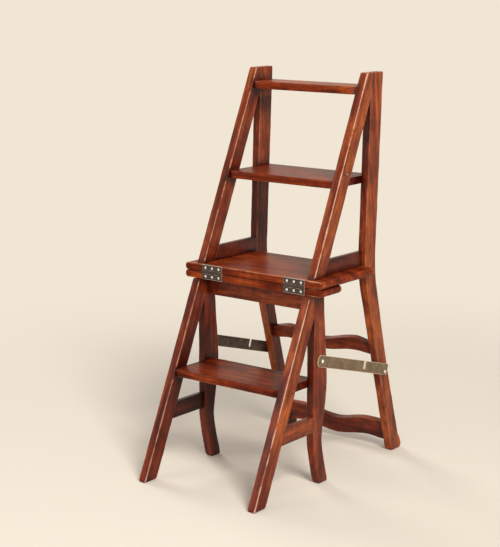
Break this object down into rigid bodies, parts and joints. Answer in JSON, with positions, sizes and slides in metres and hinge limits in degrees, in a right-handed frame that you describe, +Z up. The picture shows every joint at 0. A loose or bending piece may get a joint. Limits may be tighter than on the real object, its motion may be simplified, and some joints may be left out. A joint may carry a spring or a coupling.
{
  "type": "library step chair",
  "caption": "Folding library step chair: sloping ladder sides and housed treads that turn over on seat hinges into an armless side chair, held by side straps.",
  "frame": {"origin": "on the floor, at the middle of the chair's width and depth as it stands as steps", "axes": "+X to the right of someone climbing the steps, +Y away from the climber, +Z up"},
  "size_m": [0.386, 0.5784, 0.906],
  "materials": {
    "mahogany": "polished red-brown, worn on the arrises and treads",
    "hinge_iron": "dark, dull and rubbed",
    "screw_steel": "worn bright",
    "strap_brass": "dull, green-brown with age"
  },
  "bodies": {
    "fixed_half": {"seat_front_board": "mahogany", "front_leg_left": "mahogany", "front_leg_right": "mahogany", "lower_stringer_left": "mahogany", "lower_stringer_right": "mahogany", "lower_tread": "mahogany", "lower_stretcher_left": "mahogany", "lower_stretcher_right": "mahogany", "front_apron": "mahogany", "hinge_leaf_front_left": "hinge_iron", "hinge_leaf_front_right": "hinge_iron", "hinge_pin_left": "hinge_iron", "hinge_pin_right": "hinge_iron", "hinge_screw_front_1": "screw_steel", "hinge_screw_front_2": "screw_steel", "hinge_screw_front_3": "screw_steel", "hinge_screw_front_4": "screw_steel", "hinge_screw_front_5": "screw_steel", "hinge_screw_front_6": "screw_steel", "strap_screw_left": "screw_steel", "strap_screw_right": "screw_steel", "tread_pin_left_1": "mahogany", "tread_pin_left_2": "mahogany", "tread_pin_right_1": "mahogany", "tread_pin_right_2": "mahogany"},
    "moving_half": {"seat_rear_board": "mahogany", "back_post_left": "mahogany", "back_post_right": "mahogany", "upper_stringer_left": "mahogany", "upper_stringer_right": "mahogany", "middle_tread": "mahogany", "top_tread": "mahogany", "side_rail_left": "mahogany", "side_rail_right": "mahogany", "mid_back_rail": "mahogany", "crest_rail": "mahogany", "hinge_leaf_rear_left": "hinge_iron", "hinge_leaf_rear_right": "hinge_iron", "hinge_screw_rear_1": "screw_steel", "hinge_screw_rear_2": "screw_steel", "hinge_screw_rear_3": "screw_steel", "hinge_screw_rear_4": "screw_steel", "hinge_screw_rear_5": "screw_steel", "hinge_screw_rear_6": "screw_steel", "stile_stud_left": "screw_steel", "stile_stud_right": "screw_steel", "stringer_stud_left": "screw_steel", "stringer_stud_right": "screw_steel"},
    "strap_left": {"strap_left": "strap_brass"},
    "strap_right": {"strap_right": "strap_brass"}
  },
  "joints": [
    {"name": "fold", "type": "hinge", "parent": "fixed_half", "child": "moving_half", "pos_m": [0, -0.08525, 0.453], "axis": [1, 0, 0], "range_deg": [0, 180]},
    {"name": "strap_left_turn", "type": "hinge", "parent": "fixed_half", "child": "strap_left", "pos_m": [-0.1666, -0.04725, 0.2838], "axis": [1, 0, 0], "range_deg": [0, 45]},
    {"name": "strap_right_turn", "type": "hinge", "parent": "fixed_half", "child": "strap_right", "pos_m": [0.1666, -0.04725, 0.2838], "axis": [1, 0, 0], "range_deg": [0, 45]}
  ]
}
